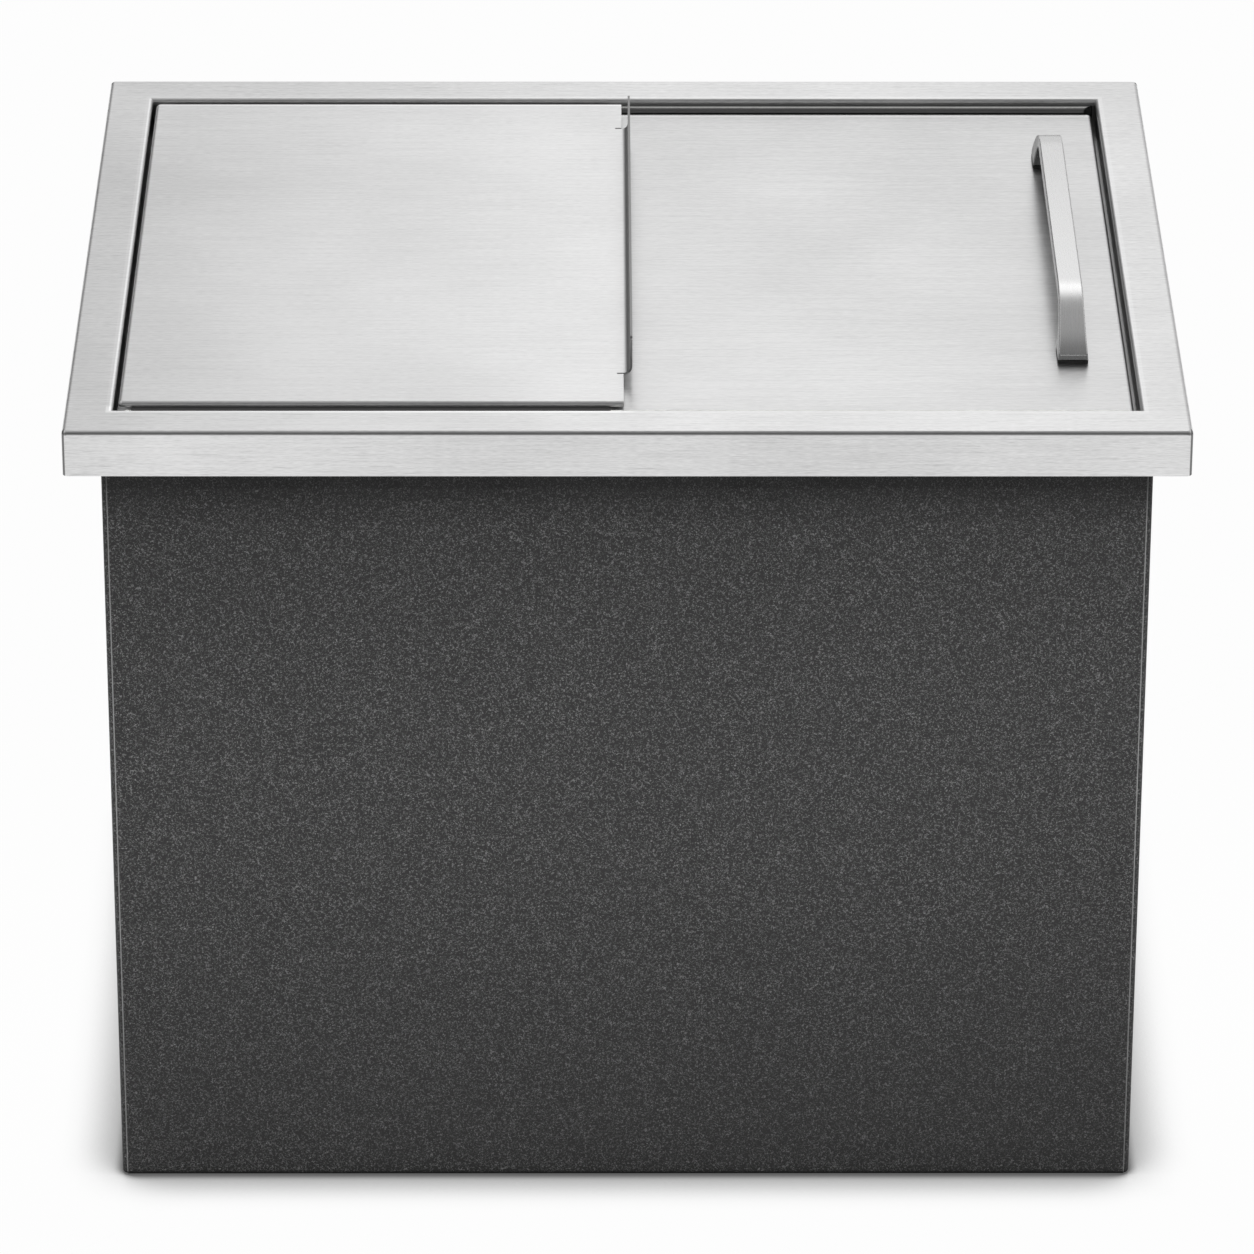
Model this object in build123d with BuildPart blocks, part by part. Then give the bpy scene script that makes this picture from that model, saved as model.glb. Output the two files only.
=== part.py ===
"""A drop-in ice bin: a stainless rim and tub in an insulated casing, with two lids on two levels of track.

Millimetres. X runs across the bin, the front faces -Y and Z is up. The origin is on the floor,
under the middle of the bin. The lids and their tracks hang from the top of the rim.
"""

import math
import os

from build123d import *

os.makedirs("parts", exist_ok=True)

# Overall sizes
rim_width = 508.0
rim_depth = 406.0
rim_top = 397.0
seat_gap = 0.3

# Rim: one stainless sheet with a skirt outside and a drop wall inside
rim_sheet = 1.2
skirt_height = 22.0
skirt_lip = 8.0
side_flange = 22.0
end_flange = 23.8
rim_corner = 2.5
skirt_bend = 2.0
opening_bend = 1.9

# Casing: painted sheet, two side trays with a lapped sheet at the front and back
casing_side_inset = 16.0
casing_end_inset = 16.5
casing_sheet = 0.8
casing_bend = 2.2
tray_return = 16.0
panel_flange = 11.0
panel_return = 12.0
panel_edge = 0.3
base_sheet = 1.0
base_clearance = 0.2
base_hole_radius = 34.0

# Blind rivets that close the casing at the back
rivet_radius = 1.6
rivet_clearance = 0.05
rivet_head_radius = 3.2
rivet_crown_radius = 2.2
rivet_head_height = 1.1
rivet_tail_radius = 2.2
rivet_tail_height = 0.9
rivet_rows = 4
rivet_end_distance = 30.0

# Insulation boards, with a glue gap that clears the rivet tails
board = 20.0
base_board = 33.2
glue_gap = 1.2
board_hole_radius = 36.0

# Tub: drawn sheet with a ledge round its top and a floor pitched to the drain
tub_sheet = 0.8
tub_corner = 18.0
tub_cove = 14.0
tub_ledge_bend = 2.5
tub_upstand = 9.0
floor_fall = 4.0
sump_half = 32.0

# Upper track: a folded rail with a runner strip along its inner edge, at the front and back
rail_sheet = 0.8
rail_bend = 0.8
rail_reach = 5.6
rail_weld_leg = 7.0
rail_lip = 2.0
rail_side_gap = 1.5
rail_mitre = 4.5
runner_width = 1.4
runner_thickness = 0.4

# Lids
lid_sheet = 1.0
lid_bend = 1.7
lid_corner = 2.2
lid_end_gap = 6.6
left_lid_side_gap = 2.0
left_lid_rise = 0.5
left_lid_turndown = 2.3
slide_sheet = 0.4
slide_leg = 0.6
slide_leg_height = 1.0
slide_reach = 3.6
slide_end_gap = 6.0
right_lid_side_gap = 2.5
right_lid_drop = 4.9
right_lid_turndown = 8.0
right_lid_tuck = 19.0

# Finger lip turned up along the left lid's right edge, between two relief notches
lip_face = 2.4
lip_height = 18.0
lip_length = 282.0
lip_bend = 4.0
lip_corner = 1.5
relief_width = 1.2
relief_depth = 3.0

# Nylon shoes under the right lid
glide_length = 24.0
glide_wall = 1.2
glide_height = 4.0
glide_end_distance = 14.0

# Bow handle on the right lid
handle_inset = 25.0
handle_centres = 224.0
handle_foot = 16.0
handle_height = 24.4
handle_end_height = 4.7
handle_bar = 6.0
handle_shoulder_length = 217.2
handle_top_width = 10.4
handle_waist_width = 11.6
handle_foot_width = 14.1
handle_outer_bend = 36.0
handle_inner_bend = 15.0
handle_end_bend = 0.8
handle_edge = 0.7
pad_thickness = 1.8
pad_corner = 1.5

# Handle fasteners
screw_radius = 2.5
screw_clearance = 0.2
screw_thread_clearance = 0.05
screw_depth = 5.0
screw_hole_spare = 1.0
screw_head_radius = 4.5
screw_head_height = 2.8
screw_head_edge = 1.0
socket_radius = 1.5
socket_depth = 1.6
washer_radius = 5.5
washer_thickness = 0.8

# Drain
drain_tail_radius = 13.2
drain_shank_radius = 14.5
drain_shank_spare = 1.0
drain_bore_radius = 9.5
drain_clearance = 0.3
drain_thread_clearance = 0.05
drain_flange_radius = 27.0
drain_flange = 2.6
drain_flange_edge = 0.8
drain_tail_end = 5.0
drain_recess_clearance = 0.3
strainer_radius = 15.0
strainer_sheet = 1.0
strainer_hole_radius = 1.2
strainer_rings = ((3.9, 6), (7.6, 12))
hexagon = 6
gasket_radius = 25.0
gasket_thickness = 2.0
drain_washer_radius = 24.0
drain_washer_thickness = 1.0
locknut_across_flats = 38.0
locknut_height = 7.0
locknut_taper = 60.0

# Places of the rim and its opening
rim_x = rim_width / 2
rim_y = rim_depth / 2
open_x = rim_x - side_flange
open_y = rim_y - end_flange
wall_x = open_x + rim_sheet
wall_y = open_y + rim_sheet
skirt_bottom = rim_top - skirt_height
flange_under = rim_top - rim_sheet

# Places of the lids
lid_y = open_y - lid_end_gap
left_top = rim_top + left_lid_rise
left_bottom = left_top - left_lid_turndown
left_under = left_top - lid_sheet
left_left = -open_x + left_lid_side_gap
lip_x = lip_face - lid_sheet / 2
left_edge = lip_face - lip_bend
right_top = rim_top - right_lid_drop
right_under = right_top - lid_sheet
right_bottom = right_top - right_lid_turndown
right_left = left_edge - right_lid_tuck
right_right = open_x - right_lid_side_gap

# Places of the tracks
slide_under = left_bottom - slide_sheet
runner_top = slide_under - seat_gap
rail_floor = runner_top - runner_thickness
rail_inner_y = open_y - rail_reach
rail_x = open_x - rail_side_gap
ledge_top = right_bottom - glide_wall - seat_gap
ledge_under = ledge_top - tub_sheet
ledge_x = wall_x + tub_sheet
ledge_y = wall_y + tub_sheet

# Places of the casing, the boards and the tub
casing_x = rim_x - casing_side_inset
casing_y = rim_y - casing_end_inset
tray_y = casing_y - casing_sheet
panel_x = casing_x - casing_bend
base_top = casing_sheet + base_sheet
board_x = casing_x - casing_sheet - glue_gap
board_y = tray_y - casing_sheet - glue_gap
board_top = ledge_under - tub_ledge_bend
base_board_top = base_top + base_board
tub_x = board_x - board - tub_sheet
tub_y = board_y - board - tub_sheet
sump_top = base_board_top + seat_gap + tub_sheet
sump_under = sump_top - tub_sheet
floor_edge = sump_top + floor_fall

# Places of the handle and its fasteners
handle_x = right_right - handle_inset
handle_z = right_top + pad_thickness
handle_end = (handle_centres + handle_foot) / 2
handle_places = [(handle_x, side * handle_centres / 2) for side in (-1, 1)]
washer_under = right_under - washer_thickness


def write(piece, name):
    """Labels a finished piece and writes it to its own file."""
    piece.part.label = name
    export_step(piece.part, f"parts/{name}.step")
    print(f"{name}: {len(piece.part.solids())} solid(s), {piece.part.volume / 1000:.2f} cm3")


# Rim
def rim_form(inset, bottom):
    """The block that the rim's skirt and flange wrap, smaller by an inset."""
    with BuildPart() as form:
        with BuildSketch(Plane.XY.offset(bottom)):
            RectangleRounded(2 * (rim_x - inset), 2 * (rim_y - inset), rim_corner - inset)
        extrude(amount=rim_top - inset - bottom)
        fillet(form.faces().sort_by(Axis.Z)[-1].edges(), skirt_bend - inset)
    return form.part


with BuildPart() as top_frame:
    add(rim_form(0, skirt_bottom))
    add(rim_form(rim_sheet, skirt_bottom + rim_sheet), mode=Mode.SUBTRACT)
    with BuildSketch(Plane.XY.offset(skirt_bottom)):
        Rectangle(2 * (rim_x - skirt_lip), 2 * (rim_y - skirt_lip))
    extrude(amount=rim_sheet, mode=Mode.SUBTRACT)
    # the drop wall stands on the tub's ledge
    with BuildSketch(Plane.XY.offset(ledge_top)):
        Rectangle(2 * wall_x, 2 * wall_y)
    extrude(amount=flange_under - ledge_top)
    with BuildSketch(Plane.XY.offset(ledge_top)):
        Rectangle(2 * open_x, 2 * open_y)
    extrude(amount=rim_top - ledge_top, mode=Mode.SUBTRACT)
    fillet(top_frame.faces().sort_by(Axis.Z)[-1].inner_wires()[0].edges(), opening_bend)
write(top_frame, "top_frame")


# Tub
def tub_form(grow):
    """The space inside the tub, grown outwards by a thickness."""
    with BuildPart() as form:
        with BuildSketch(Plane.XY.offset(floor_edge - grow)):
            RectangleRounded(2 * (tub_x + grow), 2 * (tub_y + grow), tub_corner + grow)
        extrude(amount=ledge_top - floor_edge + grow)
        fillet(form.faces().sort_by(Axis.Z)[0].edges(), tub_cove + grow)
        # the pitched floor starts where the cove ends and falls to a flat sump
        with BuildSketch(Plane.XY.offset(floor_edge - grow)):
            RectangleRounded(2 * (tub_x - tub_cove), 2 * (tub_y - tub_cove), tub_corner - tub_cove)
        with BuildSketch(Plane.XY.offset(sump_top - grow)):
            RectangleRounded(2 * sump_half, 2 * sump_half, tub_corner - tub_cove)
        loft(ruled=True)
    return form.part


with BuildPart() as ice_liner:
    add(tub_form(tub_sheet))
    with BuildSketch(Plane.XY.offset(ledge_under)):
        Rectangle(2 * ledge_x, 2 * ledge_y)
    extrude(amount=tub_sheet)
    underside = ice_liner.faces().filter_by(Axis.Z).sort_by(Axis.Z)[-2]
    fillet(underside.inner_wires()[0].edges(), tub_ledge_bend - tub_sheet)
    add(tub_form(0), mode=Mode.SUBTRACT)
    fillet(ice_liner.faces().sort_by(Axis.Z)[-1].inner_wires()[0].edges(), tub_ledge_bend)
    # the upstand wraps the outside of the rim's drop wall
    with BuildSketch(Plane.XY.offset(ledge_top)):
        Rectangle(2 * ledge_x, 2 * ledge_y)
        Rectangle(2 * wall_x, 2 * wall_y, mode=Mode.SUBTRACT)
    extrude(amount=tub_upstand)
    with BuildSketch(Plane.XY.offset(sump_under)):
        Circle(drain_shank_radius + drain_clearance)
    extrude(amount=tub_sheet, mode=Mode.SUBTRACT)
write(ice_liner, "ice_liner")


# Upper track
def track_plan(side):
    """The plan of a track piece, whose ends slant in from the drop wall to its inner edge."""
    return Polygon(
        (-rail_x, side * open_y),
        (rail_x, side * open_y),
        (rail_x - rail_mitre, side * rail_inner_y),
        (rail_mitre - rail_x, side * rail_inner_y),
        align=None,
    )


def upper_rail(side):
    """A folded rail: a leg welded to the drop wall, a narrow floor and a lip turned down at its inner edge."""
    wall_line = side * (open_y - rail_sheet / 2)
    lip_line = side * (rail_inner_y + rail_sheet / 2)
    floor_line = rail_floor - rail_sheet / 2
    with BuildPart() as rail:
        with BuildSketch(Plane.YZ.offset(-rail_x)):
            with BuildLine():
                FilletPolyline(
                    (wall_line, floor_line - rail_weld_leg),
                    (wall_line, floor_line),
                    (lip_line, floor_line),
                    (lip_line, rail_floor - rail_lip),
                    radius=rail_bend,
                )
            trace(line_width=rail_sheet)
        extrude(amount=2 * rail_x)
        with BuildSketch(Plane.XY.offset(ledge_top)):
            track_plan(side)
        extrude(amount=rim_top - ledge_top, mode=Mode.INTERSECT)
    return rail


def runner_strip(side):
    """A flat strip along the inner edge of a rail's floor, on which the left lid's slide runs."""
    with BuildPart() as strip:
        with BuildSketch(Plane.XY.offset(rail_floor)):
            track_plan(side)
            with Locations((0, side * (rail_inner_y + rail_bend + runner_width))):
                outer = Align.MIN if side > 0 else Align.MAX
                Rectangle(2 * rail_x, rail_reach, align=(Align.CENTER, outer), mode=Mode.SUBTRACT)
            with Locations((0, side * (rail_inner_y + rail_bend))):
                inner = Align.MAX if side > 0 else Align.MIN
                Rectangle(2 * rail_x, rail_bend, align=(Align.CENTER, inner), mode=Mode.SUBTRACT)
        extrude(amount=runner_thickness)
    return strip


for side, place in ((-1, "front"), (1, "back")):
    write(upper_rail(side), f"upper_rail_{place}")
    write(runner_strip(side), f"runner_strip_{place}")

# Rivet places, in the middle of the side trays' returns at the back
rivet_x = casing_x - tray_return / 2
rivet_pitch = (flange_under - 2 * rivet_end_distance) / (rivet_rows - 1)
rivet_heights = [rivet_end_distance + row * rivet_pitch for row in range(rivet_rows)]
rivet_places = [(across * rivet_x, height) for across in (-1, 1) for height in rivet_heights]
back_face = Plane(origin=(0, casing_y, 0), x_dir=(-1, 0, 0), z_dir=(0, 1, 0))


# Casing
def casing_form(inset):
    """The block that the two side trays wrap, smaller by an inset."""
    with BuildPart() as form:
        with BuildSketch(Plane.XY.offset(inset)):
            RectangleRounded(2 * (casing_x - inset), 2 * (tray_y - inset), casing_bend - inset)
        extrude(amount=flange_under - inset)
        fillet(form.faces().sort_by(Axis.Z)[0].edges(), casing_bend - inset)
    return form.part


def side_tray(side):
    """A side of the casing: a sheet with returns at the front, back and foot and a hanging flange."""
    with BuildPart() as tray:
        add(casing_form(0))
        add(casing_form(casing_sheet), mode=Mode.SUBTRACT)
        with BuildSketch(Plane.XY):
            with Locations((side * casing_x, 0)):
                Rectangle(2 * tray_return, 2 * tray_y)
        extrude(amount=flange_under, mode=Mode.INTERSECT)
        # room for the end panels' foot returns
        with BuildSketch(Plane.XY):
            with Locations((side * panel_x, tray_y), (side * panel_x, -tray_y)):
                inward = Align.MAX if side > 0 else Align.MIN
                Rectangle(tray_return, 2 * (panel_return - casing_sheet + seat_gap), align=(inward, Align.CENTER))
        extrude(amount=casing_bend, mode=Mode.SUBTRACT)
        with BuildSketch(Plane.XY.offset(flange_under)):
            with Locations((side * (casing_x - casing_sheet), 0)):
                outward = Align.MIN if side > 0 else Align.MAX
                Rectangle(panel_flange + casing_sheet, 2 * (tray_y - casing_bend), align=(outward, Align.CENTER))
        extrude(amount=-casing_sheet)
        with BuildSketch(back_face):
            with Locations(*rivet_places):
                Circle(rivet_radius + rivet_clearance)
        extrude(amount=-2 * casing_sheet, mode=Mode.SUBTRACT)
    return tray


def end_panel(side):
    """The front or back of the casing: a sheet lapped on the trays, folded out at its top and in at its foot."""
    middle = casing_sheet / 2
    with BuildPart() as panel:
        with BuildSketch(Plane.YZ.offset(-panel_x)):
            with BuildLine():
                FilletPolyline(
                    (side * (casing_y + panel_flange), flange_under - middle),
                    (side * (casing_y - middle), flange_under - middle),
                    (side * (casing_y - middle), middle),
                    (side * (casing_y - panel_return), middle),
                    radius=casing_bend - middle,
                )
            trace(line_width=casing_sheet)
        extrude(amount=2 * panel_x)
        outer_face = panel.faces().filter_by(Axis.Y).group_by(SortBy.AREA)[-1].sort_by(Axis.Y)[0 if side < 0 else -1]
        chamfer(outer_face.edges().filter_by(Axis.Z), panel_edge)
    return panel


write(end_panel(-1), "front_panel")

with BuildPart() as back_panel:
    add(end_panel(1).part)
    with BuildSketch(back_face):
        with Locations(*rivet_places):
            Circle(rivet_radius + rivet_clearance)
    extrude(amount=-casing_sheet, mode=Mode.SUBTRACT)
write(back_panel, "back_panel")

write(side_tray(-1), "left_panel")
write(side_tray(1), "right_panel")

with BuildPart() as base_panel:
    with BuildSketch(Plane.XY.offset(casing_sheet)):
        Rectangle(2 * (panel_x - base_clearance), 2 * (casing_y - casing_bend - base_clearance))
        Circle(base_hole_radius, mode=Mode.SUBTRACT)
    extrude(amount=base_sheet)
write(base_panel, "base_panel")

# A rivet is turned from its half profile, with a crowned head outside and a flattened tail inside
grip = 2 * casing_sheet

with BuildPart() as rivet:
    with BuildSketch(Plane.XZ):
        with BuildLine():
            Polyline(
                (0, rivet_head_height),
                (0, -grip - rivet_tail_height),
                (rivet_tail_radius, -grip - rivet_tail_height),
                (rivet_tail_radius, -grip),
                (rivet_radius, -grip),
                (rivet_radius, 0),
                (rivet_head_radius, 0),
                (rivet_crown_radius, rivet_head_height),
                close=True,
            )
        make_face()
    revolve(axis=Axis.Z)

with BuildPart(back_face) as back_panel_rivets:
    with Locations(*rivet_places):
        add(rivet.part)
write(back_panel_rivets, "back_panel_rivets")


# Insulation
def insulation(name, centre, size, bottom, top):
    """A foam board, upright between the tub and the casing or flat under the tub."""
    with BuildPart() as piece:
        with BuildSketch(Plane.XY.offset(bottom)):
            with Locations(centre):
                Rectangle(*size)
        extrude(amount=top - bottom)
    write(piece, f"insulation_{name}")


for side, ends, sides in ((-1, "front", "left"), (1, "back", "right")):
    insulation(ends, (0, side * (board_y - board / 2)), (2 * board_x, board), base_top, board_top)
    insulation(sides, (side * (board_x - board / 2), 0), (board, 2 * (board_y - board)), base_top, board_top)

with BuildPart() as insulation_base:
    with BuildSketch(Plane.XY.offset(base_top)):
        Rectangle(2 * (board_x - board), 2 * (board_y - board))
        Circle(board_hole_radius, mode=Mode.SUBTRACT)
    extrude(amount=base_board)
write(insulation_base, "insulation_base")

# Drain: a flanged shank clamped through the sump, with a strainer in its recess and a tail for the pipe
recess_floor = sump_top + drain_flange - strainer_sheet - drain_recess_clearance
gasket_under = sump_under - gasket_thickness
drain_washer_under = gasket_under - drain_washer_thickness
locknut_under = drain_washer_under - locknut_height

with BuildPart() as drain_body:
    with BuildSketch(Plane.XY.offset(sump_top)):
        Circle(drain_flange_radius)
    extrude(amount=drain_flange)
    chamfer(drain_body.faces().sort_by(Axis.Z)[-1].edges(), drain_flange_edge)
    with BuildSketch(Plane.XY.offset(locknut_under - drain_shank_spare)):
        Circle(drain_shank_radius)
    extrude(amount=sump_top - locknut_under + drain_shank_spare)
    with BuildSketch(Plane.XY.offset(drain_tail_end)):
        Circle(drain_tail_radius)
    extrude(amount=locknut_under - drain_shank_spare - drain_tail_end)
    with BuildSketch(Plane.XY.offset(drain_tail_end)):
        Circle(drain_bore_radius)
    extrude(amount=sump_top + drain_flange - drain_tail_end, mode=Mode.SUBTRACT)
    with BuildSketch(Plane.XY.offset(recess_floor)):
        Circle(strainer_radius + drain_recess_clearance)
    extrude(amount=drain_flange, mode=Mode.SUBTRACT)
write(drain_body, "drain_body")

with BuildPart() as drain_strainer:
    with BuildSketch(Plane.XY.offset(recess_floor)):
        Circle(strainer_radius)
        Circle(strainer_hole_radius, mode=Mode.SUBTRACT)
        for ring_radius, ring_holes in strainer_rings:
            with PolarLocations(ring_radius, ring_holes):
                Circle(strainer_hole_radius, mode=Mode.SUBTRACT)
    extrude(amount=strainer_sheet)
write(drain_strainer, "drain_strainer")


def drain_ring(radius, bottom, thickness):
    """A flat ring round the drain's shank."""
    with BuildPart() as ring:
        with BuildSketch(Plane.XY.offset(bottom)):
            Circle(radius)
            Circle(drain_shank_radius + drain_clearance, mode=Mode.SUBTRACT)
        extrude(amount=thickness)
    return ring


write(drain_ring(gasket_radius, gasket_under, gasket_thickness), "drain_gasket")
write(drain_ring(drain_washer_radius, drain_washer_under, drain_washer_thickness), "drain_washer")

with BuildPart() as drain_locknut:
    with BuildSketch(Plane.XY.offset(locknut_under)):
        RegularPolygon(locknut_across_flats / 2, hexagon, major_radius=False)
    extrude(amount=locknut_height)
    # the lower corners are turned off by a cone
    with BuildSketch(Plane.XY.offset(locknut_under)):
        Circle(locknut_across_flats / 2)
    extrude(amount=locknut_height, taper=-locknut_taper, mode=Mode.INTERSECT)
    with BuildSketch(Plane.XY.offset(locknut_under)):
        Circle(drain_shank_radius + drain_thread_clearance)
    extrude(amount=locknut_height, mode=Mode.SUBTRACT)
write(drain_locknut, "drain_locknut")


# Lids
def lid_form(left, right, top, bottom, inset):
    """The block that a lid's sheet wraps, smaller by an inset."""
    with BuildPart() as form:
        with BuildSketch(Plane.XY.offset(bottom)):
            with Locations(((left + right) / 2, 0)):
                RectangleRounded(right - left - 2 * inset, 2 * (lid_y - inset), lid_corner - inset)
        extrude(amount=top - inset - bottom)
        fillet(form.faces().sort_by(Axis.Z)[-1].edges(), lid_bend - inset)
    return form.part


with BuildPart() as left_lid:
    # the sheet is wrapped past its right edge, then cut back to it
    add(lid_form(left_left, lip_face + lid_corner, left_top, left_bottom, 0))
    add(lid_form(left_left, lip_face + lid_corner, left_top, left_bottom, lid_sheet), mode=Mode.SUBTRACT)
    with BuildSketch(Plane.XY.offset(left_bottom)):
        with Locations((left_edge, 0)):
            Rectangle(open_x, 2 * lid_y, align=(Align.MAX, Align.CENTER))
    extrude(amount=left_lid_turndown, mode=Mode.INTERSECT)
    with BuildSketch(Plane.XZ):
        with BuildLine():
            FilletPolyline(
                (left_edge - relief_depth, left_top - lid_sheet / 2),
                (lip_x, left_top - lid_sheet / 2),
                (lip_x, left_top + lip_height),
                radius=lip_bend - lid_sheet / 2,
            )
        trace(line_width=lid_sheet)
    extrude(amount=lip_length / 2, both=True)
    fillet(left_lid.faces().sort_by(Axis.Z)[-1].edges().filter_by(Axis.X), lip_corner)
    with BuildSketch(Plane.XY.offset(left_bottom)):
        with Locations((left_edge, -lip_length / 2), (left_edge, lip_length / 2 + relief_width)):
            Rectangle(relief_depth, relief_width, align=(Align.MAX, Align.MAX))
    extrude(amount=left_lid_turndown, mode=Mode.SUBTRACT)
write(left_lid, "left_lid")

# A slide strip on the foot of the front and back lip reaches out over the runner strip
with BuildPart() as left_lid_slides:
    for side in (-1, 1):
        with BuildSketch(Plane.XY.offset(slide_under)):
            with Locations(((left_left + left_edge) / 2, side * (lid_y + slide_reach))):
                inward = Align.MAX if side > 0 else Align.MIN
                width = slide_reach + lid_sheet + slide_leg
                Rectangle(left_edge - left_left - 2 * slide_end_gap, width, align=(Align.CENTER, inward))
        extrude(amount=slide_sheet)
        with BuildSketch(Plane.XY.offset(left_bottom)):
            with Locations(((left_left + left_edge) / 2, side * (lid_y - lid_sheet))):
                Rectangle(left_edge - left_left - 2 * slide_end_gap, slide_leg, align=(Align.CENTER, inward))
        extrude(amount=slide_leg_height - slide_sheet)
write(left_lid_slides, "left_lid_slides")

with BuildPart() as right_lid:
    add(lid_form(right_left, right_right, right_top, right_bottom, 0))
    add(lid_form(right_left, right_right, right_top, right_bottom, lid_sheet), mode=Mode.SUBTRACT)
    with BuildSketch(Plane.XY.offset(right_under)):
        with Locations(*handle_places):
            Circle(screw_radius + screw_clearance)
    extrude(amount=lid_sheet, mode=Mode.SUBTRACT)
write(right_lid, "right_lid")

# Each shoe is a channel pressed on the foot of the front or back lip
glide_y = lid_y - lid_sheet / 2
glide_ends = (right_left + glide_end_distance, right_right - glide_end_distance - glide_length)
glide_places = [(end + glide_length / 2, side * glide_y) for end in glide_ends for side in (-1, 1)]

with BuildPart() as right_lid_glides:
    with BuildSketch(Plane.XY.offset(right_bottom - glide_wall)):
        with Locations(*glide_places):
            Rectangle(glide_length, lid_sheet + 2 * glide_wall)
    extrude(amount=glide_height)
    with BuildSketch(Plane.XY.offset(right_bottom)):
        with Locations(*glide_places):
            Rectangle(glide_length, lid_sheet)
    extrude(amount=glide_height, mode=Mode.SUBTRACT)
write(right_lid_glides, "right_lid_glides")

# Outside, each leg rises steeply and bends over in a wide arc; inside, a tighter arc thickens its root
foot_inner = handle_end - handle_foot
half_bow = [
    (handle_end, pad_thickness, 0),
    (handle_end, handle_end_height, handle_end_bend),
    (handle_shoulder_length / 2, handle_height, handle_outer_bend),
]
half_hollow = [
    (foot_inner, handle_height - handle_bar, handle_inner_bend),
    (foot_inner, pad_thickness, 0),
]
bow = half_bow + [(-y, z, r) for y, z, r in reversed(half_bow)]
bow += [(-y, z, r) for y, z, r in reversed(half_hollow)] + half_hollow

with BuildPart() as pull_handle:
    with BuildSketch(Plane.YZ.offset(handle_x)):
        with BuildLine():
            FilletPolyline(
                *[(y, right_top + z) for y, z, _ in bow],
                radius=[r for _, _, r in bow],
                close=True,
            )
        make_face()
    extrude(amount=handle_foot_width / 2, both=True)
    # the sides sweep in from the feet to the bar
    with BuildSketch(Plane.XZ):
        with BuildLine():
            flanks = []
            for across in (-1, 1):
                flanks.append(
                    ThreePointArc(
                        (handle_x + across * handle_foot_width / 2, handle_z),
                        (handle_x + across * handle_waist_width / 2, right_top + handle_height / 2),
                        (handle_x + across * handle_top_width / 2, right_top + handle_height),
                    )
                )
            Line(flanks[0] @ 0, flanks[1] @ 0)
            Line(flanks[0] @ 1, flanks[1] @ 1)
        make_face()
    extrude(amount=handle_end, both=True, mode=Mode.INTERSECT)
    for flank in (0, -1):
        rounded = pull_handle.faces().sort_by(Axis.X)[flank].edges()
        fillet(rounded.filter_by_position(Axis.Z, handle_z + handle_edge, right_top + handle_height), handle_edge)
    with BuildSketch(Plane.XY.offset(handle_z)):
        with Locations(*handle_places):
            Circle(screw_radius + screw_thread_clearance)
    extrude(amount=screw_depth + screw_hole_spare, mode=Mode.SUBTRACT)
write(pull_handle, "pull_handle")

with BuildPart() as handle_pads:
    with BuildSketch(Plane.XY.offset(right_top)):
        with Locations(*handle_places):
            RectangleRounded(handle_foot_width, handle_foot, pad_corner)
            Circle(screw_radius + screw_clearance, mode=Mode.SUBTRACT)
    extrude(amount=pad_thickness)
write(handle_pads, "handle_pads")

with BuildPart() as handle_screws:
    with BuildSketch(Plane.XY.offset(washer_under - screw_head_height)):
        with Locations(*handle_places):
            Circle(screw_head_radius)
    extrude(amount=screw_head_height)
    chamfer(handle_screws.faces().sort_by(Axis.Z)[:2].edges(), screw_head_edge)
    with BuildSketch(Plane.XY.offset(washer_under - screw_head_height)):
        with Locations(*handle_places):
            RegularPolygon(socket_radius, hexagon)
    extrude(amount=socket_depth, mode=Mode.SUBTRACT)
    with BuildSketch(Plane.XY.offset(washer_under)):
        with Locations(*handle_places):
            Circle(screw_radius)
    extrude(amount=handle_z + screw_depth - washer_under)
write(handle_screws, "handle_screws")

with BuildPart() as handle_washers:
    with BuildSketch(Plane.XY.offset(washer_under)):
        with Locations(*handle_places):
            Circle(washer_radius)
            Circle(screw_radius + screw_clearance, mode=Mode.SUBTRACT)
    extrude(amount=washer_thickness)
write(handle_washers, "handle_washers")
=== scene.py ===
# %% [markdown]
# # A drop-in ice bin
#
# A drop-in ice bin hangs by its rim in a cut-out of a bar counter. A stainless rim and tub are
# set in an insulated casing, and two lids run on two levels of track, so that one slides under
# the other. The shapes come from a CAD model, and all but the handle and the rivets stay as they
# are. What this lesson adds is the look: how sheet steel is brushed, how textured paint breaks up
# the light, and how a studio makes metal read as metal.
#
# The first step loads the CAD model as a fixed frame. Each named piece arrives as its own
# object, already in its place, in metres.

# %% Load the frame
import math

import bmesh
import bpy
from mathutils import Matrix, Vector


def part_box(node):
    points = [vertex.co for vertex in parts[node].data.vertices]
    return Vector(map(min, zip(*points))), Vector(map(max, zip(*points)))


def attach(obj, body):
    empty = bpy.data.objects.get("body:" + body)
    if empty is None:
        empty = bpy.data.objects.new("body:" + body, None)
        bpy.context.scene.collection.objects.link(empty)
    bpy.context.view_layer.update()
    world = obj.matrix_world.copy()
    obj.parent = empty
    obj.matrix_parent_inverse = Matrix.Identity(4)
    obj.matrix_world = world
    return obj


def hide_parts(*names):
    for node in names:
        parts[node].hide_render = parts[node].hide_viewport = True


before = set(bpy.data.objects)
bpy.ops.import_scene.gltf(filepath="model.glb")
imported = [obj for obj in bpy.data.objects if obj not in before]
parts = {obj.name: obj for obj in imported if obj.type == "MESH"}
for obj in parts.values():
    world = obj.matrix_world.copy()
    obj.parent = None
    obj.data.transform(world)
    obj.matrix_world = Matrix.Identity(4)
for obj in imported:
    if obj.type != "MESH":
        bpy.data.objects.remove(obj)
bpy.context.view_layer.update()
mm = 0.001
print("pieces:", len(parts))

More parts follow.
